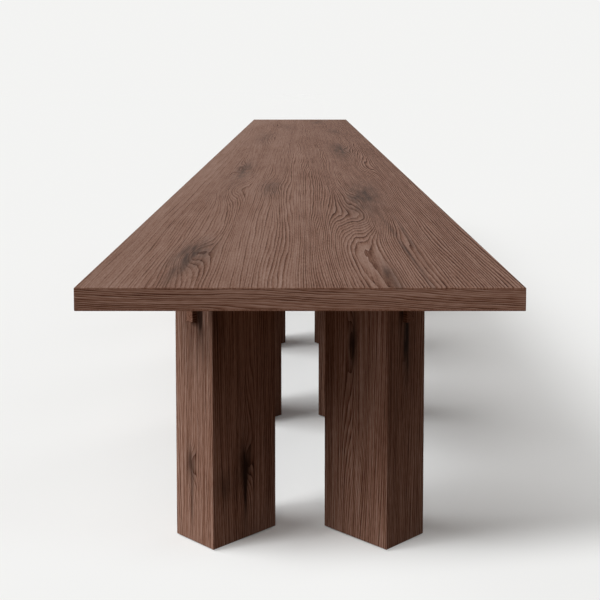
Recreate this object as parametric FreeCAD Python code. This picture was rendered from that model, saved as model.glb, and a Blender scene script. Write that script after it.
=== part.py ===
import FreeCAD, Part
import math
import os

# A long dining table in dark oak. The square-edged top is made in three lengths that are bolted
# end to end. Each length stands on a pedestal: four block legs turned 45 degrees, carried on
# four arms that run into a short spine under the middle of the top.
# X runs across the table, Y along it and Z up. The origin is on the floor under the middle of
# the top, and the end that is seen first is at -Y. Sizes are in millimetres, angles in degrees.

# Whole table
TABLE_LENGTH = 6340
TABLE_WIDTH = 660
TABLE_HEIGHT = 750
ARRIS = 1

# Top: an oak face and a backing sheet over a core board with oak lippings
TOP_THICKNESS = 35
FACE_THICKNESS = 3
BACKING_THICKNESS = 3
LIPPING_THICKNESS = 12

# Legs, in pairs along the table. Two pairs make a pedestal
PAIR_COUNT = 6
PAIR_SPACING = 900
LEG_FROM_MIDDLE = 171
LEG_LONG_SIDE = 192
LEG_SHORT_SIDE = 130
GLIDE_THICKNESS = 3
GLIDE_INSET = 8

# Arms and spine
ARM_THICKNESS = 22
ARM_DEPTH = 205
ARM_PROUD = 12
SPINE_THICKNESS = 60
TENON_THICKNESS = 10
TENON_LENGTH = 14
TENON_SHOULDER = 30
MORTISE_SPARE = 1

# Square pegs through each leg and its arm
PEG_SIDE = 12
PEG_OFFSET = 45
PEG_LOW = 70
PEG_HIGH = 145

# Brackets and screws that hold the top down
BRACKET_LEAF = 40
BRACKET_WIDTH = 30
BRACKET_THICKNESS = 2.5
BRACKET_BEND = 4
BRACKET_HOLE_DIAMETER = 5
BRACKET_HOLE_OUT = 24
SCREW_DIAMETER = 4
SCREW_LENGTH = 18
SCREW_HEAD_DIAMETER = 9
SCREW_HEAD_HEIGHT = 3
DRILL_SPARE = 0.4

# Connectors that pull the lengths of the top together at each seam
CONNECTOR_FROM_MIDDLE = 230
CONNECTOR_POCKET_FROM_SEAM = 56
CONNECTOR_POCKET_LENGTH = 30
CONNECTOR_POCKET_WIDTH = 34
CONNECTOR_POCKET_ROOF = 5
CONNECTOR_SLOT_WIDTH = 10
PLATE_THICKNESS = 5
PLATE_WIDTH = 30
PLATE_HEIGHT = 18
BOLT_DIAMETER = 8
BOLT_HEAD_ACROSS_FLATS = 13
BOLT_HEAD_FLATS = 6
BOLT_HEAD_HEIGHT = 5.5
BOLT_PAST_NUT = 3
NUT_SPARE = 0.2
TONGUE_LENGTH = 150
TONGUE_WIDTH = 40
TONGUE_THICKNESS = 6
TONGUE_FROM_MIDDLE = 115
GROOVE_SPARE = 0.2

# Screws, bolts and their holes repeat many times out of sight, so they are drawn with a few flats
SMALL_ROUND_FLATS = 8

# Levels and lengths that follow from the sizes above
HALF_LENGTH = TABLE_LENGTH / 2
HALF_WIDTH = TABLE_WIDTH / 2
UNDERSIDE = TABLE_HEIGHT - TOP_THICKNESS
CORE_BOTTOM = UNDERSIDE + BACKING_THICKNESS
FACE_BOTTOM = TABLE_HEIGHT - FACE_THICKNESS
CORE_THICKNESS = FACE_BOTTOM - CORE_BOTTOM
CORE_MIDDLE = CORE_BOTTOM + CORE_THICKNESS / 2
ARM_BOTTOM = UNDERSIDE - ARM_DEPTH
ARM_OUTER_END = LEG_LONG_SIDE / 2 + ARM_PROUD
ARM_SHOULDER = (LEG_FROM_MIDDLE - SPINE_THICKNESS / 4) * math.sqrt(2)
SPINE_TIP = PAIR_SPACING / 2 - LEG_FROM_MIDDLE + SPINE_THICKNESS / 2
CONNECTOR_GRIP = CONNECTOR_POCKET_FROM_SEAM + PLATE_THICKNESS

Vector = FreeCAD.Vector
Placement = FreeCAD.Placement
Rotation = FreeCAD.Rotation
ACROSS = Vector(1, 0, 0)
ALONG = Vector(0, 1, 0)
UP = Vector(0, 0, 1)
STRAIGHT = Rotation()

LENGTH_NAMES = ("near", "middle", "far")
SIDES = {"left": -1, "right": 1}
SEAMS = (-PAIR_SPACING, PAIR_SPACING)
LENGTH_ENDS = ((-HALF_LENGTH, SEAMS[0]), SEAMS, (SEAMS[1], HALF_LENGTH))


# Shared helpers

def prism(outline, bottom, height):
    """Raise a plan outline, a list of X and Y pairs, from the level bottom."""
    points = [Vector(x, y, bottom) for x, y in outline]
    return Part.Face(Part.makePolygon(points + points[:1])).extrude(Vector(0, 0, height))


def slab(x_limits, y_limits, z_limits):
    """Make a square-cornered piece between pairs of limits."""
    lows = Vector(x_limits[0], y_limits[0], z_limits[0])
    highs = Vector(x_limits[1], y_limits[1], z_limits[1])
    size = highs - lows
    return Part.makeBox(size.x, size.y, size.z, lows)


def at(place, shape):
    """Copy a shape that was made round the origin to its place on the table."""
    copy = shape.copy()
    copy.Placement = place.multiply(copy.Placement)
    return copy


def bar(flats, diameter, start, direction, length):
    """Make a straight bar with a number of flats, whose corners lie on a circle."""
    turns = [2 * math.pi * flat / flats for flat in range(flats)]
    corners = [(diameter / 2 * math.cos(turn), diameter / 2 * math.sin(turn)) for turn in turns]
    return at(Placement(start, Rotation(UP, direction)), prism(corners, 0, length))


def edges_along(shape, direction):
    """List the straight edges of a shape that run along a direction."""
    found = []
    for edge in shape.Edges:
        run = edge.lastVertex().Point - edge.firstVertex().Point
        if run.normalize().cross(direction).Length < 1e-6:
            found.append(edge)
    return found


def edges_within(shape, low, high):
    """List the edges of a shape that lie between two levels."""
    return [edge for edge in shape.Edges if edge.BoundBox.ZMin >= low and edge.BoundBox.ZMax <= high]


def write(name, shape):
    """Keep one piece, or one group of like pieces, under its name."""
    solids = shape.Solids
    assert solids and shape.isValid(), name
    shape.exportStep(f"parts/{name}.step")
    print(f"{name}: {len(solids)} solid(s), {shape.Volume / 1e3:.1f} cm3")


# Places of the legs, brackets and screws

def pair_place(number):
    """How far along the table a pair of legs stands, counted from 0 at the near end."""
    return (number - (PAIR_COUNT - 1) / 2) * PAIR_SPACING


def pedestal_place(pedestal):
    """How far along the table the middle of a pedestal is, half way between its two pairs."""
    return (pair_place(2 * pedestal) + pair_place(2 * pedestal + 1)) / 2


def pair_direction(number):
    """Which way along the table the arms of a pair run: 1 for +Y and -1 for -Y."""
    return 1 if number % 2 == 0 else -1


def leg_place(number, sign):
    """Where a leg stands, turned so that its own +X points along its arm to the spine."""
    turn = math.degrees(math.atan2(pair_direction(number), -sign))
    return Placement(Vector(sign * LEG_FROM_MIDDLE, pair_place(number), 0), Rotation(UP, turn))


def arm_bracket_place(number, sign):
    """Where an arm's bracket sits: half way between leg and spine, on the pedestal's inside."""
    side = -sign * pair_direction(number)
    half_way = (LEG_LONG_SIDE / 2 + ARM_SHOULDER) / 2
    on_arm = Placement(Vector(half_way, side * ARM_THICKNESS / 2, UNDERSIDE), Rotation(UP, 90 - 90 * side))
    return leg_place(number, sign).multiply(on_arm)


def spine_bracket_places(pedestal):
    """Where the two brackets of a spine sit, one on each side at its middle."""
    middle = pedestal_place(pedestal)
    return [
        Placement(Vector(sign * SPINE_THICKNESS / 2, middle, UNDERSIDE), Rotation(UP, -90 * sign))
        for sign in SIDES.values()
    ]


def bracket_places(pedestal):
    """All bracket places of one pedestal."""
    pairs = (2 * pedestal, 2 * pedestal + 1)
    on_arms = [arm_bracket_place(number, sign) for number in pairs for sign in SIDES.values()]
    return on_arms + spine_bracket_places(pedestal)


def upward_screw(bracket_place):
    """The place of the screw that goes up through a bracket into the top."""
    return bracket_place.multiply(Placement(Vector(0, BRACKET_HOLE_OUT, -BRACKET_THICKNESS), STRAIGHT))


def sideways_screw(bracket_place):
    """The place of the screw that goes through a bracket into its arm or spine."""
    on_leaf = Vector(0, BRACKET_THICKNESS, -BRACKET_HOLE_OUT)
    return bracket_place.multiply(Placement(on_leaf, Rotation(ACROSS, 90)))


def seam_places():
    """The places of the connectors at both seams, with the bolt along Y through the place."""
    rows = (-CONNECTOR_FROM_MIDDLE, 0, CONNECTOR_FROM_MIDDLE)
    return [Placement(Vector(x, seam, CORE_MIDDLE), STRAIGHT) for seam in SEAMS for x in rows]


# Legs, arms and spines

def peg(offset, rise):
    """A square peg right across a leg at the origin, flush with both faces."""
    half = PEG_SIDE / 2
    half_leg = LEG_SHORT_SIDE / 2
    level = ARM_BOTTOM + rise
    return slab((offset - half, offset + half), (-half_leg, half_leg), (level - half, level + half))


def peg_pair():
    """Both pegs of a leg, set on a slant so that they don't split one line of grain."""
    return Part.makeCompound([peg(-PEG_OFFSET, PEG_LOW), peg(PEG_OFFSET, PEG_HIGH)])


def leg():
    """A block leg with eased edges. Its top is slotted right through for the arm."""
    half_long = LEG_LONG_SIDE / 2
    half_short = LEG_SHORT_SIDE / 2
    block = slab((-half_long, half_long), (-half_short, half_short), (GLIDE_THICKNESS, UNDERSIDE))
    foot_edges = edges_within(block, 0, GLIDE_THICKNESS)
    block = block.makeChamfer(ARRIS, edges_along(block, UP) + foot_edges)
    half_slot = ARM_THICKNESS / 2
    slot = slab((-half_long, half_long), (-half_slot, half_slot), (ARM_BOTTOM, UNDERSIDE))
    return block.cut(slot).cut(peg_pair())


def tenon(length):
    """The stub at an arm's inner end, or with a longer length the mortise that takes it."""
    half = TENON_THICKNESS / 2
    levels = (ARM_BOTTOM + TENON_SHOULDER, UNDERSIDE - TENON_SHOULDER)
    return slab((ARM_SHOULDER, ARM_SHOULDER + length), (-half, half), levels)


def arm():
    """A rail on edge, made for a leg at the origin. Its outer end is eased and stands proud."""
    half = ARM_THICKNESS / 2
    rail = slab((-ARM_OUTER_END, ARM_SHOULDER), (-half, half), (ARM_BOTTOM, UNDERSIDE))
    outer_face = min(rail.Faces, key=lambda face: face.CenterOfMass.x)
    rail = rail.makeChamfer(ARRIS, outer_face.Edges)
    return rail.fuse(tenon(TENON_LENGTH)).removeSplitter().cut(peg_pair())


def spine(pedestal):
    """The middle beam of a pedestal. Each end is cut to a point whose two faces meet the arms."""
    half = SPINE_THICKNESS / 2
    middle = pedestal_place(pedestal)
    outline = [(0, -SPINE_TIP), (half, half - SPINE_TIP), (half, SPINE_TIP - half)]
    outline += [(-x, -y) for x, y in outline]
    beam = prism([(x, middle + y) for x, y in outline], ARM_BOTTOM, ARM_DEPTH)
    mortise = tenon(TENON_LENGTH + MORTISE_SPARE)
    cuts = [
        at(leg_place(number, sign), mortise)
        for number in (2 * pedestal, 2 * pedestal + 1)
        for sign in SIDES.values()
    ]
    cuts += [at(sideways_screw(place), pilot()) for place in spine_bracket_places(pedestal)]
    return beam.cut(Part.makeCompound(cuts))


def glide():
    """A flat nylon glide under a leg, a little smaller than the leg's foot."""
    half_long = LEG_LONG_SIDE / 2 - GLIDE_INSET
    half_short = LEG_SHORT_SIDE / 2 - GLIDE_INSET
    return slab((-half_long, half_long), (-half_short, half_short), (0, GLIDE_THICKNESS))


# Brackets and screws

def bracket():
    """A bent steel angle with its corner at the origin: one leaf along +Y, the other down."""
    leaf = BRACKET_LEAF
    thin = BRACKET_THICKNESS
    section = [(0, 0), (leaf, 0), (leaf, -thin), (thin, -thin), (thin, -leaf), (0, -leaf)]
    points = [Vector(-BRACKET_WIDTH / 2, y, z) for y, z in section]
    angle = Part.Face(Part.makePolygon(points + points[:1])).extrude(Vector(BRACKET_WIDTH, 0, 0))
    bends = edges_along(angle, ACROSS)
    outer = [edge for edge in bends if edge.BoundBox.YMax < thin / 2 and edge.BoundBox.ZMin > -thin / 2]
    angle = angle.makeFillet(BRACKET_BEND, outer)
    diameter = BRACKET_HOLE_DIAMETER
    up_hole = bar(SMALL_ROUND_FLATS, diameter, Vector(0, BRACKET_HOLE_OUT, -thin), UP, thin)
    side_hole = bar(SMALL_ROUND_FLATS, diameter, Vector(0, 0, -BRACKET_HOLE_OUT), ALONG, thin)
    return angle.cut(up_hole).cut(side_hole)


def screw():
    """A wood screw. Its head seats at the origin and it is driven along +Z."""
    head_end = Vector(0, 0, -SCREW_HEAD_HEIGHT)
    head = bar(SMALL_ROUND_FLATS, SCREW_HEAD_DIAMETER, head_end, UP, SCREW_HEAD_HEIGHT)
    crown = edges_within(head, -SCREW_HEAD_HEIGHT, -SCREW_HEAD_HEIGHT)
    head = head.makeChamfer(SCREW_HEAD_HEIGHT / 2, crown)
    return head.fuse(bar(SMALL_ROUND_FLATS, SCREW_DIAMETER, Vector(0, 0, 0), UP, SCREW_LENGTH))


def pilot():
    """The hole that a screw leaves in the wood behind its bracket."""
    start = Vector(0, 0, BRACKET_THICKNESS)
    depth = SCREW_LENGTH - BRACKET_THICKNESS + DRILL_SPARE
    return bar(SMALL_ROUND_FLATS, SCREW_DIAMETER + DRILL_SPARE, start, UP, depth)


# Connectors at the seams of the top

def connector_cut():
    """Both T-shaped pockets of a connector, routed from below across a seam at the origin."""
    below = UNDERSIDE - CORE_MIDDLE
    roof = CORE_THICKNESS / 2 - CONNECTOR_POCKET_ROOF
    half_slot = CONNECTOR_SLOT_WIDTH / 2
    half_pocket = CONNECTOR_POCKET_WIDTH / 2
    reach = CONNECTOR_POCKET_FROM_SEAM
    cut = slab((-half_slot, half_slot), (-reach, reach), (below, half_slot))
    for sign in SIDES.values():
        limits = sorted((sign * reach, sign * (reach + CONNECTOR_POCKET_LENGTH)))
        cut = cut.fuse(slab((-half_pocket, half_pocket), limits, (below, roof)))
    return cut


def hexagon(start):
    """A bolt head or nut on the Y axis, from start towards +Y."""
    across_corners = BOLT_HEAD_ACROSS_FLATS * 2 / math.sqrt(3)
    return bar(BOLT_HEAD_FLATS, across_corners, Vector(0, start, 0), ALONG, BOLT_HEAD_HEIGHT)


def bolt():
    """A connector bolt across a seam at the origin, with its head on the -Y side."""
    length = 2 * CONNECTOR_GRIP + BOLT_HEAD_HEIGHT + BOLT_PAST_NUT
    shank = bar(SMALL_ROUND_FLATS, BOLT_DIAMETER, Vector(0, -CONNECTOR_GRIP, 0), ALONG, length)
    return shank.fuse(hexagon(-CONNECTOR_GRIP - BOLT_HEAD_HEIGHT))


def nut():
    """The nut of a connector bolt, on the +Y side of the seam."""
    start = Vector(0, CONNECTOR_GRIP, 0)
    bore = bar(SMALL_ROUND_FLATS, BOLT_DIAMETER + NUT_SPARE, start, ALONG, BOLT_HEAD_HEIGHT)
    return hexagon(CONNECTOR_GRIP).cut(bore)


def plate(sign):
    """A steel plate against the seam side of a pocket, which the bolt head or nut pulls on."""
    half_width = PLATE_WIDTH / 2
    half_height = PLATE_HEIGHT / 2
    limits = sorted((sign * CONNECTOR_POCKET_FROM_SEAM, sign * CONNECTOR_GRIP))
    block = slab((-half_width, half_width), limits, (-half_height, half_height))
    start = Vector(0, limits[0], 0)
    bore = bar(SMALL_ROUND_FLATS, BOLT_DIAMETER + DRILL_SPARE, start, ALONG, PLATE_THICKNESS)
    return block.cut(bore)


def tongues(spare):
    """The loose tongues that keep the lengths level, or with some spare the grooves for them."""
    half_length = TONGUE_LENGTH / 2 + spare
    half_width = TONGUE_WIDTH / 2 + spare
    half_thickness = TONGUE_THICKNESS / 2 + spare
    middle = slab((-half_length, half_length), (-half_width, half_width), (-half_thickness, half_thickness))
    strips = [
        at(Placement(Vector(sign * TONGUE_FROM_MIDDLE, seam, CORE_MIDDLE), STRAIGHT), middle)
        for seam in SEAMS
        for sign in SIDES.values()
    ]
    return Part.makeCompound(strips)


# Top

def length_outline(index, inset):
    """The plan of one length of the top, drawn in from the table's outer edges by inset."""
    start, end = LENGTH_ENDS[index]
    near = start + inset if index == 0 else start
    far = end - inset if index == len(LENGTH_ENDS) - 1 else end
    side = HALF_WIDTH - inset
    return [(-side, near), (side, near), (side, far), (-side, far)]


def outer_edges(sheet, level):
    """The edges of a sheet at one level that are on the outside of the table, not at a seam."""
    found = []
    for edge in edges_within(sheet, level, level):
        middle = edge.BoundBox.Center
        if abs(middle.x) > HALF_WIDTH - ARRIS or abs(middle.y) > HALF_LENGTH - ARRIS:
            found.append(edge)
    return found


def face_sheet(index):
    """The oak face of one length. It lies over the lippings and its outer arris is eased."""
    sheet = prism(length_outline(index, 0), FACE_BOTTOM, FACE_THICKNESS)
    return sheet.makeChamfer(ARRIS, outer_edges(sheet, TABLE_HEIGHT))


def underside_cuts(index):
    """What is cut into one length from below and at its seams."""
    cuts = [at(upward_screw(place), pilot()) for place in bracket_places(index)]
    cuts += [at(place, connector_cut()) for place in seam_places()]
    return Part.makeCompound(cuts)


def backing_sheet(index):
    """The backing of one length, with its lower arris eased."""
    sheet = prism(length_outline(index, 0), UNDERSIDE, BACKING_THICKNESS)
    sheet = sheet.makeChamfer(ARRIS, outer_edges(sheet, UNDERSIDE))
    return sheet.cut(underside_cuts(index))


def core_board(index):
    """The core of one length, inside the lippings."""
    board = prism(length_outline(index, LIPPING_THICKNESS), CORE_BOTTOM, CORE_THICKNESS)
    return board.cut(underside_cuts(index)).cut(tongues(GROOVE_SPARE))


def lipping(outer_start, outer_end, inner_end, inner_start):
    """One oak lipping from the four corners of its plan, mitred where it turns a corner."""
    return prism([outer_start, outer_end, inner_end, inner_start], CORE_BOTTOM, CORE_THICKNESS)


def side_lipping(index, sign):
    """The lipping along one side of one length."""
    outer = length_outline(index, 0)
    inner = length_outline(index, LIPPING_THICKNESS)
    start, end = (0, 3) if sign < 0 else (1, 2)
    return lipping(outer[start], outer[end], inner[end], inner[start])


def end_lipping(index):
    """The lipping across the near or far end of the table."""
    outer = length_outline(index, 0)
    inner = length_outline(index, LIPPING_THICKNESS)
    start, end = (0, 1) if index == 0 else (3, 2)
    return lipping(outer[start], outer[end], inner[end], inner[start])


# Build every piece

def write_top():
    for index, name in enumerate(LENGTH_NAMES):
        write(f"top_face_{name}", face_sheet(index))
        write(f"top_core_{name}", core_board(index))
        write(f"top_backing_{name}", backing_sheet(index))
        for side, sign in SIDES.items():
            write(f"side_lipping_{name}_{side}", side_lipping(index, sign))
    write("end_lipping_near", end_lipping(0))
    write("end_lipping_far", end_lipping(len(LENGTH_NAMES) - 1))


def write_pedestals():
    block_leg = leg()
    rail = arm()
    pegs = []
    glides = []
    for number in range(PAIR_COUNT):
        for side, sign in SIDES.items():
            place = leg_place(number, sign)
            screw_hole = at(sideways_screw(arm_bracket_place(number, sign)), pilot())
            write(f"leg_{number + 1}_{side}", at(place, block_leg))
            write(f"arm_{number + 1}_{side}", at(place, rail).cut(screw_hole))
            pegs += at(place, peg_pair()).Solids
            glides.append(at(place, glide()))
    for pedestal, name in enumerate(LENGTH_NAMES):
        write(f"spine_{name}", spine(pedestal))
    write("arm_pegs", Part.makeCompound(pegs))
    write("leg_glides", Part.makeCompound(glides))


def write_hardware():
    angle = bracket()
    wood_screw = screw()
    places = [place for pedestal in range(len(LENGTH_NAMES)) for place in bracket_places(pedestal)]
    write("top_brackets", Part.makeCompound([at(place, angle) for place in places]))
    driven = [upward_screw(place) for place in places] + [sideways_screw(place) for place in places]
    write("bracket_screws", Part.makeCompound([at(place, wood_screw) for place in driven]))
    seams = seam_places()
    plates = [plate(sign) for sign in SIDES.values()]
    write("seam_bolts", Part.makeCompound([at(place, bolt()) for place in seams]))
    write("seam_nuts", Part.makeCompound([at(place, nut()) for place in seams]))
    write("seam_plates", Part.makeCompound([at(place, steel) for place in seams for steel in plates]))
    write("seam_tongues", tongues(0))


os.makedirs("parts", exist_ok=True)
write_top()
write_pedestals()
write_hardware()
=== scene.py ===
# %% [markdown]
# # A long oak dining table
# The table is carried over from a finished construction model, in metres, and nothing here moves or
# resizes it. This lesson gives it a camera, soft light and a finish for every piece: dark-stained,
# brushed oak for all that shows, and board, plywood, nylon and steel for what is hidden.

# %% Load the table
import math
import random
from collections import namedtuple

import bmesh
import bpy
from mathutils import Matrix, Vector


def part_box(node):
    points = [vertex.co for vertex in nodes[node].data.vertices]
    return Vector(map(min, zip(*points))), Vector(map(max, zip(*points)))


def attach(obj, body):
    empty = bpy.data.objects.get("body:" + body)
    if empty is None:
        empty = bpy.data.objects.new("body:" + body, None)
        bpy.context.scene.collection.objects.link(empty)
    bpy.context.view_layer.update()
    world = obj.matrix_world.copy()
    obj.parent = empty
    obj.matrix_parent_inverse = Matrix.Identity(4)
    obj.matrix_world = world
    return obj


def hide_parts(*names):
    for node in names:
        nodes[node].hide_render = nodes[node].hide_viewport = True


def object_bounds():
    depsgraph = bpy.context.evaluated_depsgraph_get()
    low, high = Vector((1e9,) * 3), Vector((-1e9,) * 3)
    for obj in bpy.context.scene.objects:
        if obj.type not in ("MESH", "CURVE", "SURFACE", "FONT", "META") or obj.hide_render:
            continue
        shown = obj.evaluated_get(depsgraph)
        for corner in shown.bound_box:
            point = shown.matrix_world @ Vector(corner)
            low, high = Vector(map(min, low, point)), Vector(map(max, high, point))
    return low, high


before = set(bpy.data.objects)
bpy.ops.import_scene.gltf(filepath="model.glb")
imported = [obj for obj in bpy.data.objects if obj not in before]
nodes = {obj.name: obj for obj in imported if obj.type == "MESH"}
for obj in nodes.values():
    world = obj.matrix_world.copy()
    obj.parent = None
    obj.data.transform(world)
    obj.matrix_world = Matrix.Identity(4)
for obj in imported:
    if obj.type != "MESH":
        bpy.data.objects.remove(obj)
cad_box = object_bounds()
scene = bpy.context.scene
print(len(nodes), "pieces in a box from", *[list(corner) for corner in cad_box])

# %% [markdown]
# ## Camera
# The table is seen from one end and from a little above, with its legs all but upright in the picture.
# A camera that looks level and is shifted down keeps uprights straight, as an architect's camera does.
# Here it looks down a little as well, so that a smaller shift is enough.

# %% Camera
FRAME_PIXELS = 600
FOCAL_PIXELS = 1108.0
LOOK_DOWN = math.radians(4)
CAMERA_PLACE = (0, -4.7678, 1.0567)
SHIFT_PIXELS = -145.9

camera_data = bpy.data.cameras.new("camera")
camera_data.lens = camera_data.sensor_width * FOCAL_PIXELS / FRAME_PIXELS
camera_data.shift_y = SHIFT_PIXELS / FRAME_PIXELS
camera = bpy.data.objects.new("camera", camera_data)
camera.location = CAMERA_PLACE
camera.rotation_euler = (math.radians(90) - LOOK_DOWN, 0, 0)
scene.collection.objects.link(camera)
scene.camera = camera
scene.view_settings.view_transform = "Standard"
print("lens", round(camera_data.lens, 1), "mm, shift", round(camera_data.shift_y, 3))

# %% [markdown]
# ## Light
# The picture has one tall soft box on the left and a slightly warm fill from the camera's side. Lamps
# near the table would leave bright pools on the floor. Suns light the floor evenly out to the horizon,
# and a wide angle makes their shadows soft. So the tall box is two suns, a low one and a high one. A weak
# sun low behind the table gives its far sides some light, and hardly any to the floor.

# %% Suns
WHITE = (1.00, 1.00, 1.00)
WARM = (1.00, 0.92, 0.86)
Sun = namedtuple("Sun", "name strength azimuth elevation width colour")
SUNS = (
    Sun("box_low", strength=3.20, azimuth=-2, elevation=25, width=52, colour=WHITE),
    Sun("box_high", strength=1.30, azimuth=27, elevation=46, width=18, colour=WHITE),
    Sun("front_fill", strength=1.00, azimuth=87, elevation=35, width=28, colour=WARM),
    Sun("back_fill", strength=0.70, azimuth=225, elevation=12, width=30, colour=WHITE),
)


def add_sun(sun):
    """Add a soft sun. Angles are in degrees, the azimuth from the table's left towards the camera."""
    lamp = bpy.data.lights.new(sun.name, "SUN")
    lamp.energy = sun.strength
    lamp.color = sun.colour
    lamp.angle = math.radians(sun.width)
    thing = bpy.data.objects.new(sun.name, lamp)
    azimuth = math.radians(sun.azimuth)
    elevation = math.radians(sun.elevation)
    level = math.cos(elevation)
    towards_sun = Vector((-level * math.cos(azimuth), -level * math.sin(azimuth), math.sin(elevation)))
    thing.rotation_euler = towards_sun.to_track_quat("Z", "Y").to_euler()
    scene.collection.objects.link(thing)
    print(sun.name, "from", [round(part, 2) for part in towards_sun])


for sun in SUNS:
    add_sun(sun)

# %% [markdown]
# ## Building finishes from nodes
# A finish is a small network of nodes, and could be linked up by hand in the shader editor. Here each
# method adds one node, or one stock group of them, and hands back its result. So a finish reads as a list
# of steps, and the same steps serve many pieces.

# %% Nodes and arithmetic
class NodeTree:
    """A node tree in the making, of a material or of the world."""

    def __init__(self, owner):
        owner.use_nodes = True
        self.owner = owner
        self.tree = owner.node_tree

    def feed(self, socket, value):
        """Link a result to a socket, or set the socket to a plain value."""
        if isinstance(value, bpy.types.NodeSocket):
            self.tree.links.new(value, socket)
        else:
            socket.default_value = value

    def node(self, kind, sockets=None, **options):
        """Add a node, set its options, and feed its sockets by name or number."""
        made = self.tree.nodes.new("ShaderNode" + kind)
        for option, value in options.items():
            setattr(made, option, value)
        for socket, value in (sockets or {}).items():
            self.feed(made.inputs[socket], value)
        return made

    def calc(self, operation, *values, clamp=False):
        """One step of arithmetic."""
        sockets = dict(enumerate(values))
        return self.node("Math", sockets, operation=operation, use_clamp=clamp).outputs[0]

    def total(self, start, *parts):
        """Start from a value and add others to it, each times its own weight."""
        result = start
        for value, weight in parts:
            result = self.calc("MULTIPLY_ADD", value, weight, result)
        return result

    def vector(self, operation, *values):
        """One step of arithmetic on vectors."""
        return self.node("VectorMath", dict(enumerate(values)), operation=operation)

    def axes(self, vector):
        """The three parts of a vector."""
        return self.node("SeparateXYZ", {0: vector}).outputs


print("steps with nodes:", *[step for step in vars(NodeTree) if not step.startswith("_")])

# %% [markdown]
# ### Places, noise and colours
# A finish starts from the place of a point on the table, so the pattern stays on the piece in every view.
# Noise and chance vary it, and a ramp or a mix turns the result into a colour. Pictures of wood and steel
# would first need every piece to be unwrapped, and these steps need only the place.

# %% Places, noise and colours
class Finish(NodeTree):
    """A finish in the making, with the steps that give it pattern and colour."""

    def object_place(self):
        """Where a point is on the table."""
        return self.node("TexCoord").outputs["Object"]

    def noise(self, place, size, seed, detail=2.0):
        """Noise about zero, with blotches of about the given size along each axis, in metres."""
        sized = self.vector("DIVIDE", place, size).outputs[0]
        sockets = {"Vector": sized, "W": seed, "Scale": 1.0, "Detail": detail}
        blotches = self.node("TexNoise", sockets, noise_dimensions="4D")
        return self.calc("SUBTRACT", blotches.outputs["Fac"], 0.5)

    def chance(self, count):
        """A chance value from 0 to 1, the same all over one whole step of a count."""
        step = self.calc("FLOOR", count)
        return self.node("TexWhiteNoise", {"W": step}, noise_dimensions="1D").outputs["Value"]

    def ramp(self, value, stops):
        """Turn a value into a colour that runs through the stops, which are evenly spaced from 0 to 1."""
        ramp = self.node("ValToRGB", {0: value})
        for number in range(1, len(stops) - 1):
            ramp.color_ramp.elements.new(number / (len(stops) - 1))
        for element, colour in zip(ramp.color_ramp.elements, stops):
            element.color = (*colour, 1.0)
        return ramp.outputs["Color"]

    def mix(self, factor, first, second):
        """Mix two colours, which are sockets 6 and 7 of the node. Their mix is its output 2."""
        mixed = self.node("Mix", {"Factor": factor, 6: first, 7: second}, data_type="RGBA")
        return mixed.outputs[2]


print("steps of a finish:", *[step for step in vars(Finish) if not step.startswith("_")])

# %% [markdown]
# ## Pale background
# The table stands in a bright studio with no horizon. A curved sheet behind it could give that, but the
# sky has no edge that another view could show. For the camera and for reflections the sky is pale. For
# the light that it sheds it is dimmer, so that the suns shape the table. The Light Path node tells these
# kinds of rays apart.

# %% Sky
PALE = (0.90, 0.90, 0.89)
SKY_SHED = 0.12


def is_seen(finish):
    """1 for rays that show a surface, straight or in a reflection, and 0 for rays that carry light."""
    path = finish.node("LightPath").outputs
    seen = finish.calc("ADD", path["Is Camera Ray"], path["Is Glossy Ray"])
    return finish.calc("ADD", seen, path["Is Transmission Ray"], clamp=True)


def make_sky():
    """The world: pale where it is seen, and dim where it lights the table."""
    sky = Finish(bpy.data.worlds.new("studio"))
    scene.world = sky.owner
    sky.tree.nodes.clear()
    light = sky.node("Background", {"Color": (*WHITE, 1), "Strength": SKY_SHED})
    backdrop = sky.node("Background", {"Color": (*PALE, 1), "Strength": 1.0})
    chosen = sky.node("MixShader", {0: is_seen(sky), 1: light.outputs[0], 2: backdrop.outputs[0]})
    sky.node("OutputWorld", {"Surface": chosen.outputs[0]})


make_sky()
print("sky looks", PALE, "and sheds", SKY_SHED)

# %% [markdown]
# ## Pale floor
# The floor is a plain pale sheet that takes the table's shadow. Its colour is the sky's pale divided by
# the light that falls on the open floor, so the two meet with no horizon. To the table it throws back
# only a little warm light, as if from the wood around. A share of the floor's pale is painted light, a glow
# of its own that no lamp gives. It is small by the legs, where the shadow is dark, and large in front of
# the table and well to the side of it, so there the painted glow lifts the shadow away. In front, the glow
# comes nearer to the table the further it lies to the side.

# %% Floor
FLOOR_BOUNCE = (0.26, 0.15, 0.09)
GLOW_BY_LEGS = 0.02
GLOW_AWAY = 0.90
# Where the glow starts to rise and where it is full, in metres from the middle of the table.
GLOW_RISES_IN_FRONT = (-2.27, -2.55)
GLOW_RISES_ASIDE = (0.36, 1.50)
GLOW_SPREAD = 0.17
FLOOR_REACH = 60.0

open_light = [SKY_SHED] * 3
for sun in SUNS:
    on_floor = sun.strength / math.pi * math.sin(math.radians(sun.elevation))
    open_light = [light + on_floor * part for light, part in zip(open_light, sun.colour)]
FLOOR_SEEN = [pale / light for pale, light in zip(PALE, open_light)]


def glow_share(paper):
    """How much of the floor's pale is painted glow, which lifts the shadow, by where a point is on the
    floor.
    """
    place = paper.axes(paper.object_place())
    aside = paper.calc("ABSOLUTE", place["X"])
    in_front = paper.total(place["Y"], (aside, -GLOW_SPREAD))
    left_unlit = []
    for distance, (start, end) in ((in_front, GLOW_RISES_IN_FRONT), (aside, GLOW_RISES_ASIDE)):
        sockets = {"Value": distance, "From Min": start, "From Max": end}
        sockets.update({"To Min": 1 - GLOW_BY_LEGS, "To Max": 1 - GLOW_AWAY})
        rise = paper.node("MapRange", sockets, interpolation_type="SMOOTHSTEP")
        left_unlit.append(rise.outputs["Result"])
    return paper.calc("SUBTRACT", 1.0, paper.calc("MULTIPLY", *left_unlit))


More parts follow.
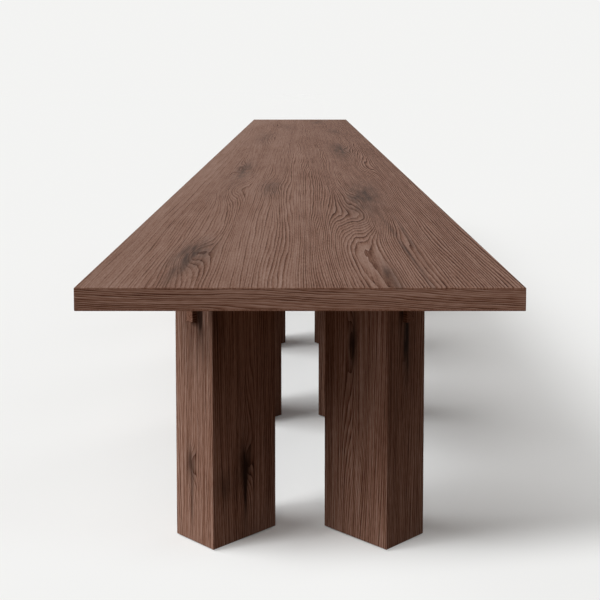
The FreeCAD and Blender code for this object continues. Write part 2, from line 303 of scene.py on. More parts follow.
def floor_paper():
    """Matt paper with a painted glow of its own, which lifts its shadow in front and to the sides."""
    paper = Finish(bpy.data.materials.new("floor_paper"))
    paper.tree.nodes.clear()
    seen = is_seen(paper)
    colour = paper.mix(seen, (*FLOOR_BOUNCE, 1), (*FLOOR_SEEN, 1))
    matt = paper.node("BsdfDiffuse", {"Color": colour})
    # Painted light: this glow lifts the table's shadow on the floor, most in front and to the sides.
    glow = paper.node("Emission", {"Color": (*PALE, 1), "Strength": 1.0})
    share = paper.calc("MULTIPLY", seen, glow_share(paper))
    sheet = paper.node("MixShader", {0: share, 1: matt.outputs[0], 2: glow.outputs[0]})
    paper.node("OutputMaterial", {"Surface": sheet.outputs[0]})
    return paper.owner


def make_floor():
    """One large square sheet on the ground, which isn't part of the table."""
    plane = bmesh.new()
    bmesh.ops.create_grid(plane, x_segments=1, y_segments=1, size=FLOOR_REACH)
    mesh = bpy.data.meshes.new("floor")
    plane.to_mesh(mesh)
    plane.free()
    mesh.materials.append(floor_paper())
    floor = bpy.data.objects.new("floor", mesh)
    scene.collection.objects.link(floor)


make_floor()
print("floor reaches", FLOOR_REACH, "m each way; light on it", [round(part, 2) for part in open_light])

# %% [markdown]
# ## Dressing a piece
# A new material comes with a shader that takes a colour, a roughness and a surface direction. The relief
# of brushed wood or powder coat is too fine to be modelled. So a bump tilts the surface direction
# instead, as if the surface rose and fell by a given depth in metres.

# %% The finish of a piece
Bump = namedtuple("Bump", "strength depth")


class PieceFinish(Finish):
    """The finish of a piece, on the shader that Blender gives a new material."""

    def __init__(self, name):
        super().__init__(bpy.data.materials.new(name))
        self.shader = self.tree.nodes["Principled BSDF"].inputs

    def cover(self, colour, roughness, height, bump):
        """Give the shader its colour and roughness, and the relief that a height makes."""
        sockets = {"Strength": bump.strength, "Distance": bump.depth, "Height": height}
        relief = self.node("Bump", sockets).outputs[0]
        for socket, value in (("Base Color", colour), ("Roughness", roughness), ("Normal", relief)):
            self.feed(self.shader[socket], value)


def dress(name, material):
    """Give a piece its finish in place of the plain one that it came with."""
    slots = nodes[name].data.materials
    slots.clear()
    slots.append(material)


print(len(nodes), "pieces wait for a finish")

# %% [markdown]
# ## Oak: the lie of the grain
# Every oak piece has its own grain direction: along the top, up the legs, out along the arms. A grain
# place is a point's place turned to that direction: X across the grain, Y along it, Z into the
# wood. The patterns below are all written for grain places, so one recipe serves every piece.

# %% Grain places
def grain_place(finish, order, middle=(0, 0, 0), turn=0.0):
    """Places counted from a piece's middle, turned about the upright, in the order across, along, into."""
    sockets = {"Vector": finish.object_place(), "Location": middle, "Rotation": (0, 0, turn)}
    turned = finish.node("Mapping", sockets, vector_type="TEXTURE").outputs[0]
    parts = finish.axes(turned)
    return finish.node("CombineXYZ", {number: parts[axis] for number, axis in enumerate(order)}).outputs[0]


print("grain orders: top XYZ, legs XZY, arms ZXY")

# %% [markdown]
# ## Oak: growth rings
# A sawn face cuts the rings of the tree, and shows them as dark lines. Rings can be drawn as the contour
# lines of a hilly field: the field counts rings, and each whole number is a line. On a flat-sawn
# board the field climbs across the board and noise, stretched along it, makes it wander. In a post it
# climbs outwards from the heart of the log. These posts are sawn from beside the heart, which keeps the
# lines long and straight on all four faces.
#
# A figure is the look of one kind of board: the way its rings are counted, the width of a ring and the
# reach of a bend in metres, and how many rings the bends wander. Then come the darkness of its lines, the
# length of their dashes and the share of its streaks. Its lines may slant, and grow bolder to one side.

# %% Growth rings
Figure = namedtuple(
    "Figure", "rings ring reach wander lines dash streaks slant bolder", defaults=(0.0, 0.0),
)
Bend = namedtuple("Bend", "rings_wide reaches_long share")
BENDS = (
    Bend(rings_wide=20, reaches_long=2.0, share=1.00),
    Bend(rings_wide=8, reaches_long=1.0, share=0.40),
    Bend(rings_wide=2, reaches_long=0.2, share=0.08),
)
HEART_AWAY = (0.14, 0.26)


def count_rings(finish, grain, figure, seed, outwards):
    """Count the rings over a distance. A slant makes the lines lean, and bends make them stray."""
    along = finish.axes(grain)["Y"]
    parts = [(outwards, 1 / figure.ring), (along, figure.slant / figure.ring)]
    for number, bend in enumerate(BENDS):
        width = bend.rings_wide * figure.ring
        size = (width, bend.reaches_long * figure.reach, width)
        stray = finish.noise(grain, size, seed + number, detail=1.0)
        parts.append((stray, bend.share * figure.wander))
    return finish.total(0.0, *parts)


def board_rings(finish, grain, figure, seed):
    """The rings of a flat-sawn board, counted across it."""
    return count_rings(finish, grain, figure, seed, finish.axes(grain)["X"])


def trunk_rings(finish, grain, figure, seed):
    """The rings of a post, counted outwards from the heart of the log, which lies beside the post."""
    chooser = random.Random(int(seed))
    across, into = (chooser.choice((-1, 1)) * chooser.uniform(*HEART_AWAY) for _ in range(2))
    out = finish.vector("SUBTRACT", grain, (across, 0, into)).outputs[0]
    level = finish.vector("MULTIPLY", out, (1, 0, 1)).outputs[0]
    radius = finish.vector("LENGTH", level).outputs["Value"]
    return count_rings(finish, grain, figure, seed, radius)


print("a ring line falls on every whole number of the field, and strays in", len(BENDS), "sizes of bend")

# %% [markdown]
# ## Oak: knots
# Where a branch grew, the ring lines flow round a knot, and the wood is dark. A knot could be painted on,
# but then the lines would run straight through it. So a knot is a soft hill in the field, so many rings
# high, and the lines bend by themselves. Its smoke and shade say how dark its middle is. A hill with rings
# and little or no darkness is a flame in the grain, and one with darkness and no rings is a dark mark, or
# on the front legs a painted shadow. The first four values of a knot are its place across and along the
# grain, its width and its length, in metres. Its slant is in degrees.

# %% Knots
Knot = namedtuple(
    "Knot", "across along width length rings smoke slant into", defaults=(0.0, 0.0, 0.0, 0.0),
)
INVERSE_E = 1 / math.e


def swell(finish, grain, knot):
    """A soft hill over a knot, 1 at its middle."""
    sockets = {
        "Vector": grain,
        "Location": (knot.across, knot.along, knot.into),
        "Rotation": (0, 0, math.radians(knot.slant)),
        "Scale": (knot.width, knot.length, knot.width),
    }
    near = finish.node("Mapping", sockets, vector_type="TEXTURE").outputs[0]
    distance = finish.vector("DOT_PRODUCT", near, near).outputs["Value"]
    return finish.calc("POWER", INVERSE_E, distance)


print("a knot's hill falls to", round(INVERSE_E, 2), "at its own width and length")

# %% [markdown]
# ## Oak: fibres, pores and patches
# Fine fibres and pores run along the grain, and broad patches take the stain unevenly. A picture of real
# wood would show its edges and its resolution on a table this long. Noise has neither. Each kind of fleck
# is noise drawn out along the grain, with its own share in the shade and in the brushed relief, and with
# a step that sets its seed apart from the others.

# %% Flecks
Fleck = namedtuple("Fleck", "width length detail step shade height", defaults=(0.0, 0.0))
STREAKS = Fleck(width=0.0040, length=0.30, detail=3.0, step=3, height=0.5)
PORES = Fleck(width=0.0018, length=0.020, detail=1.0, step=4, shade=0.60, height=0.9)
PATCHES = Fleck(width=0.11, length=0.80, detail=2.0, step=5, shade=0.35)
HAZE = Fleck(width=0.020, length=0.12, detail=3.0, step=6, shade=0.30)


def flecks(finish, grain, fleck, seed):
    """Noise about zero, drawn out along the grain."""
    return finish.noise(grain, (fleck.width, fleck.length, fleck.width), seed + fleck.step, fleck.detail)


print("pores are", PORES.length * 1000, "mm long")

# %% [markdown]
# ## Oak: ring lines
# Dark stain sinks into the porous start of each ring and stays lighter on the hard wood after it, so the
# line is sharp on one side and fades on the other. The field already says how far a point lies past its
# line, so no stripe texture is needed. Each ring has its own boldness by chance, broken up into dashes.
# A board can have bolder lines on one side than on the other. End grain drinks the stain evenly and
# hardly shows the lines.

# %% Ring lines
LINE_SHARPNESS = 2.0
LINE_LEAST = 0.45
LINE_CHANCE = 0.55
LINE_DASHES = 0.9
DASH_WIDTH = 0.004
DASH_STEP = 7
END_GRAIN_CALM = 0.9
# What a whole ring takes off the shade: the mean boldness times the mean of the fade.
MEAN_LINE = (LINE_LEAST + LINE_CHANCE / 2) / (LINE_SHARPNESS + 1)


def ring_lines(finish, grain, figure, seed, field, end_grain):
    """How dark a point is for lying on a ring line."""
    past_line = finish.calc("FRACT", field)
    fade = finish.calc("POWER", finish.calc("SUBTRACT", 1.0, past_line), LINE_SHARPNESS)
    dash = Fleck(width=DASH_WIDTH, length=figure.dash, detail=1.0, step=DASH_STEP)
    dashes = flecks(finish, grain, dash, seed)
    boldness = finish.total(
        LINE_LEAST, (finish.chance(field), LINE_CHANCE), (dashes, LINE_DASHES),
        (finish.axes(grain)["X"], figure.bolder),
    )
    on_sides = finish.total(1.0, (end_grain, -END_GRAIN_CALM))
    return finish.calc("MULTIPLY", finish.calc("MULTIPLY", fade, boldness), on_sides)


print("ring lines have a mean darkness of", round(MEAN_LINE, 2))

# %% [markdown]
# ## Worn edges
# Handling lightens the eased edges of the wood, and rubs the coating off the bends of the steel. That
# could be painted edge by edge. But an eased edge can be told by the way that it looks: along two axes of
# its piece at once, where a flat face looks along only one.

# %% Faces and edges
CHAMFER_LOOK = 0.5
EDGE_SCALE = 1 / CHAMFER_LOOK ** 2


def facing(finish, turn):
    """How far a face looks along each axis of its piece: squares that add up to 1."""
    sockets = {"Vector": finish.node("TexCoord").outputs["Normal"], "Angle": -turn}
    turned = finish.node("VectorRotate", sockets, rotation_type="Z_AXIS").outputs[0]
    return finish.axes(finish.vector("MULTIPLY", turned, turned).outputs[0])


def worn_edges(finish, looks):
    """1 on a chamfer and 0 on a flat face."""
    pairs = [finish.calc("MULTIPLY", looks[a], looks[b]) for a, b in ("XY", "YZ", "ZX")]
    return finish.total(0.0, *[(pair, EDGE_SCALE) for pair in pairs])


print("a chamfer looks", CHAMFER_LOOK, "along each of two axes")

# %% [markdown]
# ## Oak: the whole finish
# All of this adds up to one shade, which picks a colour between the darkest and the palest stain. Over
# the knots lies dark smoke, torn into wisps along the grain, and the painted shadows on the front legs
# are laid on in the same way. A wire brush has dug the soft wood out a little, which the bump follows.
# Pieces differ only in the lie of their grain, their figure and seed, their tone and their knots, so one
# function makes the oak of them all.

# %% Oak finish
OAK_STAIN = (
    (0.030, 0.0106, 0.0061), (0.089, 0.0398, 0.0249), (0.163, 0.0885, 0.0630),
    (0.225, 0.1400, 0.1090), (0.290, 0.1980, 0.1620),
)
MIDDLE_SHADE = 0.50
WORN_SHADE = 0.10
SMOKE = (0.050, 0.030, 0.023)
# Also the colour of the painted shadows on the front legs.
KNOT_AND_SHADE_BLACK = (0.016, 0.0072, 0.0045)
WISPS = Fleck(width=0.012, length=0.12, detail=4.0, step=8)
WISP_CONTRAST = 4.0
OAK_SHINE = 0.02
OAK_ROUGHNESS = 0.62
LINE_ROUGHNESS = 0.15
WORN_ROUGHNESS = -0.10
LINE_HEIGHT = -0.7
BRUSHED = Bump(strength=0.5, depth=0.0006)


def darkened_by_smoke_and_shade(finish, grain, seed, hills, wood, knot_and_shade_colour):
    """The colour of wood with dark wisps over its knots, and over the painted shadows on the front legs."""
    smoke = finish.total(0.0, *[(hill, knot.smoke) for knot, hill in hills])
    wisps = finish.total(1.0, (flecks(finish, grain, WISPS, seed), WISP_CONTRAST))
    return finish.mix(finish.calc("MULTIPLY", smoke, wisps, clamp=True), wood, (*knot_and_shade_colour, 1))


def oak(name, order, figure, seed, middle=(0, 0, 0), turn=0.0, tone=0.0, knots=(), knot_and_shade_colour=SMOKE):
    """Dark-stained, brushed oak with its grain laid in the given order."""
    finish = PieceFinish(name)
    grain = grain_place(finish, order, middle, turn)
    looks = facing(finish, turn)
    end_grain = looks[order[1]]
    wear = worn_edges(finish, looks)
    hills = [(knot, swell(finish, grain, knot)) for knot in knots]
    rings = figure.rings(finish, grain, figure, seed)
    field = finish.total(rings, *[(hill, knot.rings) for knot, hill in hills])
    line = ring_lines(finish, grain, figure, seed, field, end_grain)
    streaks, pores, patches, haze = (
        flecks(finish, grain, fleck, seed) for fleck in (STREAKS, PORES, PATCHES, HAZE)
    )

    mean_line = figure.lines * MEAN_LINE
    shade = finish.total(
        MIDDLE_SHADE + tone + mean_line, (line, -figure.lines), (end_grain, -mean_line),
        (streaks, figure.streaks), (pores, PORES.shade), (patches, PATCHES.shade), (haze, HAZE.shade),
        (wear, WORN_SHADE),
    )
    colour = finish.ramp(shade, OAK_STAIN)
    if knots:
        colour = darkened_by_smoke_and_shade(finish, grain, seed, hills, colour, knot_and_shade_colour)
    roughness = finish.total(OAK_ROUGHNESS, (line, LINE_ROUGHNESS), (wear, WORN_ROUGHNESS))
    height = finish.total(0.0, (line, LINE_HEIGHT), (streaks, STREAKS.height), (pores, PORES.height))
    finish.cover(colour, roughness, height, BRUSHED)
    finish.feed(finish.shader["Specular IOR Level"], OAK_SHINE)
    return finish.owner


print("oak runs from", OAK_STAIN[0], "to", OAK_STAIN[-1])

# %% [markdown]
# ## The top
# The top is faced with sheets of flat-sawn oak. The figure runs on over the seams, as in sheets cut one
# after another from the same log, so all three lengths share one finish. The smoky knots lie towards the
# sides and the straight grain runs down the middle. The backing sheet underneath is plainer.

# %% Top face and backing
FLAT_SAWN = Figure(
    board_rings, ring=0.0052, reach=0.72, wander=10.0, lines=0.70, dash=0.12, streaks=0.65, bolder=1.2,
)
PLAIN_SHEET = FLAT_SAWN._replace(lines=0.25, streaks=0.40, bolder=0.0)
FACE_TONE = -0.018
SMOKY_KNOTS = (
    Knot(-0.186, -2.86, 0.028, 0.15, rings=5.0, smoke=0.80, slant=-2),
    Knot(0.161, -1.94, 0.042, 0.30, rings=-8.0, smoke=0.80, slant=-3),
    Knot(-0.186, -1.12, 0.024, 0.30, rings=-5.0, smoke=0.65),
    Knot(-0.080, -1.72, 0.030, 0.20, rings=3.0, smoke=0.45),
    Knot(0.168, -0.12, 0.035, 0.38, rings=6.0, smoke=0.75),
    Knot(-0.173, 0.82, 0.040, 0.50, rings=5.0, smoke=0.30),
    Knot(0.190, 1.45, 0.035, 0.30, rings=6.0, smoke=0.40, slant=2),
    Knot(-0.090, 2.05, 0.045, 0.40, rings=-7.0, smoke=0.25, slant=3),
    Knot(0.120, 2.72, 0.040, 0.30, rings=6.0, smoke=0.40, slant=-4),
)
FLAMES = (
    Knot(0.139, -2.36, 0.050, 0.22, rings=-7.0, smoke=0.10),
    Knot(-0.189, -1.72, 0.045, 0.30, rings=8.0, smoke=0.10),
    Knot(0.200, -1.00, 0.040, 0.40, rings=6.0),
    Knot(0.083, -2.80, 0.050, 0.50, rings=8.0),
)
DARK_MARKS = (
    Knot(-0.196, -3.04, 0.009, 0.10, smoke=0.45, slant=-3),
    Knot(0.141, -3.08, 0.012, 0.13, smoke=0.55, slant=2),
    Knot(0.188, -2.80, 0.004, 0.40, smoke=0.60, slant=1),
    Knot(0.207, -2.62, 0.004, 0.30, smoke=0.55),
)
TOP_KNOTS = SMOKY_KNOTS + FLAMES + DARK_MARKS
LENGTHS = ("near", "middle", "far")

top_of_table = (0, 0, cad_box[1][2])
face_oak = oak("oak_face", "XYZ", FLAT_SAWN, seed=3.0, middle=top_of_table, tone=FACE_TONE, knots=TOP_KNOTS)
backing_oak = oak("oak_backing", "XYZ", PLAIN_SHEET, seed=40.0)
for length in LENGTHS:
    dress(f"top_face_{length}", face_oak)
    dress(f"top_backing_{length}", backing_oak)
print("face has", len(TOP_KNOTS), "knots, flames and marks")

# %% [markdown]
# ## Edges of the top
# The edges are lipped with narrow oak strips. Their grain runs along each edge, in long slanting lines,
# so the ends and the sides of the table need a finish each, with the grain laid across or along it.

# %% Lippings
SIDES = {"left": -1, "right": 1}
EDGE_STRIP = Figure(
    board_rings, ring=0.0034, reach=0.20, wander=9.0, lines=0.85, dash=0.06, streaks=1.00, slant=0.06,
)
EDGE_TONE = 0.06
end_oak = oak("oak_end_lipping", "ZXY", EDGE_STRIP, seed=61.0, tone=EDGE_TONE)
side_oak = oak("oak_side_lipping", "ZYX", EDGE_STRIP, seed=71.0, tone=EDGE_TONE)
for end in ("near", "far"):
    dress(f"end_lipping_{end}", end_oak)
for length in LENGTHS:
    for side in SIDES:
        dress(f"side_lipping_{length}_{side}", side_oak)
print("lippings run along their edges")

# %% [markdown]
# ## Knots of the front legs
# The two front legs have knots of their own, on the outer face, where the arm comes through, and on the
# long face beside it. Beside each arm's end a narrow dark line is painted shadow in the crease, and on
# the left leg painted shadow darkens the head of the outer face and the face beside the arm. Their places
# are counted from the middle of the leg's foot in the leg's own directions, which keeps each of them on its
# face whichever way the leg is turned.

# %% Knots and painted shadows of the front legs
OUTER_FACE = -0.096
LONG_FACE = 0.065
LEFT_LEG_KNOTS_AND_SHADES = (
    # Painted shadow in the crease beside the arm's end, painted shadow of the top over the leg's head, and
    # painted shadow of the arm on the face beside it.
    Knot(OUTER_FACE, 0.615, 0.0075, 0.095, smoke=1.60, into=-0.0205),
    Knot(OUTER_FACE, 0.550, 0.065, 0.150, smoke=0.46),
    Knot(OUTER_FACE, 0.550, 0.030, 0.100, smoke=0.48, into=-0.045),
    # A low knot and its tail, on the outer face.
    Knot(OUTER_FACE, 0.178, 0.016, 0.045, rings=4.0, smoke=0.55, into=0.010),
    Knot(OUTER_FACE, 0.110, 0.005, 0.060, smoke=0.50, into=0.008),
    # A low knot, its tail and a stain, and a flame over them, on the long face.
    Knot(0.000, 0.180, 0.020, 0.050, rings=4.0, smoke=0.80, into=-LONG_FACE),
    Knot(0.000, 0.105, 0.006, 0.080, smoke=0.85, into=-LONG_FACE),
    Knot(-0.060, 0.137, 0.030, 0.035, smoke=0.45, into=-LONG_FACE),
    Knot(0.000, 0.400, 0.026, 0.180, rings=3.5, into=-LONG_FACE),
)
RIGHT_LEG_KNOTS_AND_SHADES = (
    # Painted shadow in the crease beside the arm's end, and a high knot on the outer face.
    Knot(OUTER_FACE, 0.615, 0.0065, 0.095, smoke=3.20, into=0.0195),
    Knot(OUTER_FACE, 0.455, 0.010, 0.075, rings=3.0, smoke=1.40),
    # A high knot and a flame under it, on the long face.
    Knot(0.008, 0.455, 0.012, 0.066, rings=3.0, smoke=0.85, into=LONG_FACE),
    Knot(0.000, 0.340, 0.032, 0.200, rings=4.5, into=LONG_FACE),
)
LEG_KNOTS_AND_SHADES = {"leg_1_left": LEFT_LEG_KNOTS_AND_SHADES, "leg_1_right": RIGHT_LEG_KNOTS_AND_SHADES}
print("knots, flames and marks:", {leg: len(knots) for leg, knots in LEG_KNOTS_AND_SHADES.items()})

# %% [markdown]
# ## Legs and arms
# Each leg is a post with its own figure, so each gets its own seed. One oak for all twelve legs would be
# quicker, but the same lines would show on each of them. The legs on the left are a shade paler than
# those on the right. An arm lies at 45 degrees to the table, along the leg's own X, shares the leg's place
# and is darker.

# %% Legs and arms
PAIRS = 6
POST = Figure(
    trunk_rings, ring=0.0042, reach=0.70, wander=4.0, lines=0.68, dash=0.25, streaks=1.35, slant=0.03,
)
RAIL = Figure(board_rings, ring=0.0050, reach=0.30, wander=4.0, lines=0.60, dash=0.10, streaks=0.80)
LEG_TONE = 0.025
ARM_TONE = -0.14
# Any seeds will do, as long as no two legs and no two arms share one.
LEG_SEED = 100.0
PAIR_SEED_STEP = 20
SIDE_SEED_STEP = 7
ARM_SEED_STEP = 9


def leg_turn(pair, sign):
    """How far a leg is turned about the upright: its X points along its arm, in to the spine."""
    to_spine = 1 if pair % 2 else -1
    return math.atan2(to_spine, -sign)


def leg_middle(name):
    """The middle of a leg's foot on the floor."""
    low, high = (Vector(corner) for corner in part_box(name))
    middle = (low + high) / 2
    return (middle.x, middle.y, 0.0)


def dress_leg(pair, side, sign):
    """Dress a leg and the arm that lies in it."""
    leg = f"leg_{pair}_{side}"
    arm = f"arm_{pair}_{side}"
    seed = LEG_SEED + PAIR_SEED_STEP * pair + SIDE_SEED_STEP * sign
    middle = leg_middle(leg)
    turn = leg_turn(pair, sign)
    # The front legs take their knots and their painted shadows.
    knots = LEG_KNOTS_AND_SHADES.get(leg, ())
    dress(leg, oak("oak_" + leg, "XZY", POST, seed, middle, turn, -LEG_TONE * sign, knots, KNOT_AND_SHADE_BLACK))
    dress(arm, oak("oak_" + arm, "ZXY", RAIL, seed + ARM_SEED_STEP, middle, turn, ARM_TONE))


for pair in range(1, PAIRS + 1):
    for side, sign in SIDES.items():
        dress_leg(pair, side, sign)
print(PAIRS * len(SIDES), "legs dressed")

# %% [markdown]
# ## Spines and pegs
# In the middle of each pedestal a spine joins the four arms, and square pegs lock the arms in the legs.
# They are the same oak: the spine's grain runs along the table, and the pegs are close-grained and dark.

# %% Spines and pegs
PEG = Figure(board_rings, ring=0.0030, reach=0.10, wander=2.0, lines=0.40, dash=0.03, streaks=0.60)
PEG_TONE = -0.08
spine_oak = oak("oak_spine", "ZYX", RAIL, seed=81.0)
peg_oak = oak("oak_peg", "XYZ", PEG, seed=91.0, tone=PEG_TONE)
for length in LENGTHS:
    dress(f"spine_{length}", spine_oak)
dress("arm_pegs", peg_oak)
print(len(LENGTHS), "spines dressed, and the pegs")

# %% [markdown]
# ## Inside the top
# Between its oak faces the top is a blockboard: softwood strips glued side by side. The seams are kept
# level by loose tongues of plywood, whose layers show on their edges. Modelling each strip would add
# hundreds of hidden pieces. Strips and layers are both made by cutting a place into even steps, and giving
# each step its own chance tone.

# %% Core strips and plywood
STRIP_WIDTH = 0.028
STRIP_FIBRE = (0.002, 0.15, 0.002)
PLY_THICKNESS = 0.0012
PLY_FIBRE = (0.03, 0.004, 0.002)
SOFTWOOD_STOPS = ((0.34, 0.20, 0.10), (0.46, 0.30, 0.16), (0.58, 0.41, 0.24))
PLY_STOPS = ((0.25, 0.14, 0.07), (0.42, 0.27, 0.14), (0.55, 0.38, 0.22))
LAYER_LEAST = 0.25
LAYER_CHANCE = 0.5
FIBRE_SHADE = 0.8
GLUE = (0.20, 0.12, 0.06)
GLUE_SHARE = 1 / 60
RAW_ROUGHNESS = 0.75
FIBRE_ROUGHNESS = 0.2
RAW_WOOD = Bump(strength=0.3, depth=0.0003)


def layered_wood(name, axis, step, stops, fibre_size, seed):
    """Pale wood in glued steps along one axis."""
    finish = PieceFinish(name)
    place = finish.object_place()
    along_steps = finish.axes(place)[axis]
    tone = finish.chance(finish.calc("DIVIDE", along_steps, step))
    fibre = finish.noise(place, fibre_size, seed, detail=3.0)
    shade = finish.total(LAYER_LEAST, (tone, LAYER_CHANCE), (fibre, FIBRE_SHADE))
    from_glue = finish.calc("PINGPONG", along_steps, step / 2)
    glue = finish.calc("LESS_THAN", from_glue, step * GLUE_SHARE)
    colour = finish.mix(glue, finish.ramp(shade, stops), (*GLUE, 1))
    roughness = finish.total(RAW_ROUGHNESS, (fibre, FIBRE_ROUGHNESS))
    finish.cover(colour, roughness, fibre, RAW_WOOD)
    return finish.owner


core_strips = layered_wood("core_strips", "X", STRIP_WIDTH, SOFTWOOD_STOPS, STRIP_FIBRE, seed=201.0)
tongue_ply = layered_wood("tongue_plywood", "Z", PLY_THICKNESS, PLY_STOPS, PLY_FIBRE, seed=202.0)
for length in LENGTHS:
    dress(f"top_core_{length}", core_strips)
dress("seam_tongues", tongue_ply)
print("core strips are", STRIP_WIDTH * 1000, "mm wide")

# %% [markdown]
# ## Black brackets
# The steel brackets under the top are powder-coated black, with the slight orange-peel of that coating.
# Dust makes it uneven, and bare steel is rubbed through at the bends. One colour would look like a cut-out
# under the dark top, so noise varies the colour and the roughness together. The other metal and the nylon
# are mottled in the same way.

# %% Powder coat
Mottle = namedtuple("Mottle", "stops middle contrast roughness rougher")
COATING = Mottle(
    stops=((0.012, 0.012, 0.013), (0.020, 0.020, 0.021), (0.034, 0.033, 0.033)),
    middle=0.50, contrast=1.2, roughness=0.45, rougher=0.3,
)
PEEL_SIZE = (0.0012, 0.0012, 0.0012)
DUST_SIZE = (0.012, 0.012, 0.012)
PEEL = Bump(strength=0.4, depth=0.0001)
BRACKET_TURN = math.radians(45)
BARE_STEEL = (0.30, 0.29, 0.28)
RUBBED_SHARE = 0.15


def mottled(finish, mottle, noise):
    """A colour and a roughness that vary together with a noise."""
    colour = finish.ramp(finish.total(mottle.middle, (noise, mottle.contrast)), mottle.stops)
    roughness = finish.total(mottle.roughness, (noise, mottle.rougher))
    return colour, roughness


def powder_coat():
    """Black coating, rubbed through at the bends."""
    finish = PieceFinish("powder_coat")
    place = finish.object_place()
    peel = finish.noise(place, PEEL_SIZE, seed=211.0)
    dust = finish.noise(place, DUST_SIZE, seed=212.0, detail=3.0)
    colour, roughness = mottled(finish, COATING, dust)
    bends = worn_edges(finish, facing(finish, BRACKET_TURN))
    rubbed = finish.calc("MULTIPLY", bends, finish.calc("ADD", dust, RUBBED_SHARE), clamp=True)
    finish.cover(finish.mix(rubbed, colour, (*BARE_STEEL, 1)), roughness, peel, PEEL)
    return finish.owner


dress("top_brackets", powder_coat())
print("orange-peel is", PEEL_SIZE[0] * 1000, "mm across")

# %% [markdown]
# ## Zinc-plated steel
# Bolts, nuts and plates are zinc-plated: bright, with cloudy warm and cool patches and fine turning
# marks. The marks are too fine to be modelled, so they are a bump and a little roughness.

# %% Zinc
ZINC = Mottle(
    stops=((0.46, 0.46, 0.45), (0.56, 0.57, 0.58), (0.66, 0.63, 0.55)),
    middle=0.50, contrast=1.6, roughness=0.34, rougher=0.3,
)
CLOUD_SIZE = (0.006, 0.006, 0.006)
TURNING_SIZE = (0.0004, 0.0004, 0.0004)
TURNING_ROUGHNESS = 0.1
TURNING = Bump(strength=0.2, depth=0.00005)


def zinc():
    """Bright, cloudy plating over turned steel."""
    finish = PieceFinish("zinc")
    place = finish.object_place()
    clouds = finish.noise(place, CLOUD_SIZE, seed=221.0, detail=3.0)
    marks = finish.noise(place, TURNING_SIZE, seed=222.0)
    colour, roughness = mottled(finish, ZINC, clouds)
    finish.cover(colour, finish.total(roughness, (marks, TURNING_ROUGHNESS)), marks, TURNING)
    finish.feed(finish.shader["Metallic"], 1.0)
    return finish.owner


zinc_plate = zinc()
for name in ("seam_bolts", "seam_nuts", "seam_plates"):
    dress(name, zinc_plate)
print("turning marks are", TURNING_SIZE[0] * 1000, "mm apart")

# %% [markdown]
# ## Nylon glides
# The glides under the legs are dark nylon, scuffed dull and pale where they slide. The scuffs lie along
# the table, the way that it is pushed, so their noise is longer that way.

# %% Nylon
NYLON = Mottle(
    stops=((0.018, 0.014, 0.011), (0.028, 0.022, 0.018), (0.060, 0.052, 0.046)),
    middle=0.45, contrast=1.5, roughness=0.50, rougher=0.4,
)
SCUFF_SIZE = (0.002, 0.015, 0.002)
SCUFFED = Bump(strength=0.3, depth=0.0001)


def nylon():
    """Dark nylon with scuffs."""
    finish = PieceFinish("nylon")
    scuffs = finish.noise(finish.object_place(), SCUFF_SIZE, seed=231.0, detail=3.0)
    colour, roughness = mottled(finish, NYLON, scuffs)
    finish.cover(colour, roughness, scuffs, SCUFFED)
    return finish.owner


dress("leg_glides", nylon())
print("scuffs are", SCUFF_SIZE[1] * 1000, "mm long")

# %% [markdown]
# ## One screw
# The construction model has its screws as plain bars. Here each gets a domed head with a cross recess. A
# lathe-like modifier can't turn a cross, so the screw is bridged from loops of edges: circles up the
# shank and over the dome, then the outline of the cross at its mouth and at its bottom. The outline has
# as many points as a circle, which lets the faces between them lie evenly.

# %% One screw
SCREW_LENGTH = 0.018
SHANK_RADIUS = 0.002
TIP_RADIUS = 0.0004
TIP_LENGTH = 0.004
HEAD_RADIUS = 0.0045
# Each step of the dome is a share of the head's radius, and a drop from the underside of the head.
HEAD_STEPS = ((1.00, 0.0000), (1.00, 0.0010), (0.93, 0.0018), (0.76, 0.0025))
HEAD_HEIGHT = 0.0030
ROUND_SEGMENTS = 24
CROSS_REACH = 0.0023
CROSS_HALF_WIDTH = 0.0005
CROSS_DEPTH = 0.0015


def ring_of_edges(mesh, radius, height):
    """A circle of edges about the upright."""
    at_height = Matrix.Translation((0, 0, height))
    made = bmesh.ops.create_circle(mesh, segments=ROUND_SEGMENTS, radius=radius, matrix=at_height)
    return list(dict.fromkeys(edge for vert in made["verts"] for edge in vert.link_edges))


def cross_of_edges(mesh, height):
    """The outline of the cross recess, with as many points as a circle has."""
    reach, half = CROSS_REACH, CROSS_HALF_WIDTH
    quarter = [Vector((half, half, height)), Vector((half, reach, height)), Vector((-half, reach, height))]
    turns = [Matrix.Rotation(math.radians(90 * number), 3, "Z") for number in range(4)]
    corners = [turn @ point for turn in turns for point in quarter]
    verts = [mesh.verts.new(corner) for corner in corners]
    edges = [mesh.edges.new((first, second)) for first, second in zip(verts, verts[1:] + verts[:1])]
    cut = bmesh.ops.subdivide_edges(mesh, edges=edges, cuts=1)
    halves = [piece for piece in cut["geom"] if isinstance(piece, bmesh.types.BMEdge)]
    return list(dict.fromkeys(edges + halves))


def bridge(mesh, *loops):
    """Join loops of edges, one to the next."""
    for first, second in zip(loops, loops[1:]):
        bmesh.ops.bridge_loops(mesh, edges=first + second)


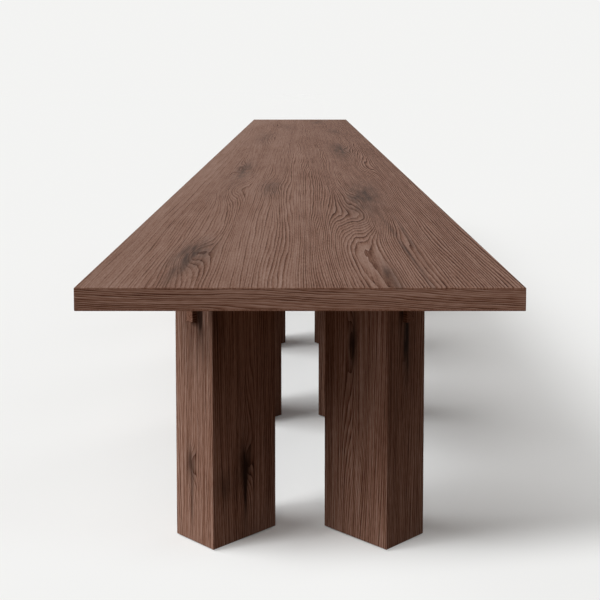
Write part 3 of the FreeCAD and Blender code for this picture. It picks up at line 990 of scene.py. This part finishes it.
def make_screw():
    """One screw, driven upwards, with the underside of its head at zero."""
    mesh = bmesh.new()
    tip = ring_of_edges(mesh, TIP_RADIUS, SCREW_LENGTH)
    shoulder = ring_of_edges(mesh, SHANK_RADIUS, SCREW_LENGTH - TIP_LENGTH)
    neck = ring_of_edges(mesh, SHANK_RADIUS, 0)
    dome = [ring_of_edges(mesh, HEAD_RADIUS * share, -drop) for share, drop in HEAD_STEPS]
    mouth = cross_of_edges(mesh, -HEAD_HEIGHT)
    bottom = cross_of_edges(mesh, -HEAD_HEIGHT + CROSS_DEPTH)
    bridge(mesh, tip, shoulder, neck, *dome, mouth, bottom)
    bmesh.ops.edgeloop_fill(mesh, edges=tip)
    bmesh.ops.edgeloop_fill(mesh, edges=bottom)
    bmesh.ops.recalc_face_normals(mesh, faces=mesh.faces)
    return mesh


screw_pattern = make_screw()
print("one screw has", len(screw_pattern.faces), "faces")

# %% [markdown]
# ## Where the screws go
# The plain bars of the construction model say where each screw is, so no place is typed in here. The bars
# are one mesh, and points that are linked by edges belong to the same bar. The farthest points of a bar
# are its tip, and the line from its middle to the tip is the way it was driven.

# %% Places of the screws
SAME_PLACE = 1e-5


def separate_solids(name):
    """The points of each separate solid in a node."""
    mesh = bmesh.new()
    mesh.from_mesh(nodes[name].data)
    bmesh.ops.remove_doubles(mesh, verts=mesh.verts, dist=SAME_PLACE)
    waiting = dict.fromkeys(mesh.verts)
    solids = []
    while waiting:
        found = [waiting.popitem()[0]]
        for vert in found:
            for edge in vert.link_edges:
                other = edge.other_vert(vert)
                if other in waiting:
                    waiting.pop(other)
                    found.append(other)
        solids.append([vert.co.copy() for vert in found])
    mesh.free()
    return solids


def screw_place(points):
    """Where a screw's plain bar lies: its tip, and the way it was driven."""
    middle = sum(points, Vector()) / len(points)
    farthest = max((point - middle).length for point in points)
    tip_points = [point for point in points if (point - middle).length > farthest - SAME_PLACE]
    tip = sum(tip_points, Vector()) / len(tip_points)
    driven = (tip - middle).normalized()
    turn = Vector((0, 0, 1)).rotation_difference(driven).to_matrix().to_4x4()
    return Matrix.Translation(tip - driven * SCREW_LENGTH) @ turn


screw_places = [screw_place(points) for points in separate_solids("bracket_screws")]
print(len(screw_places), "places found")

# %% [markdown]
# ## The screws in place
# A copy of the one screw is turned into each place, and all the copies are joined to one mesh. The new
# piece stands for the plain bars, rides on the table and takes their kind of steel.

# %% Screws in place
def make_screws(pattern, places):
    """Put a copy of the pattern in each place, as one piece of zinc-plated steel."""
    plain = bpy.data.meshes.new("one_screw")
    pattern.to_mesh(plain)
    pattern.free()
    screws = bmesh.new()
    for place in places:
        before = len(screws.verts)
        screws.from_mesh(plain)
        screws.verts.ensure_lookup_table()
        bmesh.ops.transform(screws, matrix=place, verts=screws.verts[before:])
    mesh = bpy.data.meshes.new("cross_head_screws")
    screws.to_mesh(mesh)
    screws.free()
    bpy.data.meshes.remove(plain)
    mesh.materials.append(zinc_plate)
    piece = bpy.data.objects.new("cross_head_screws", mesh)
    scene.collection.objects.link(piece)
    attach(piece, "root")
    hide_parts("bracket_screws")
    print(len(places), "screws with", len(mesh.polygons), "faces")


make_screws(screw_pattern, screw_places)

# %% [markdown]
# ## Sizes
# The dressed table keeps the size of the construction model, whose box is printed when it is loaded.
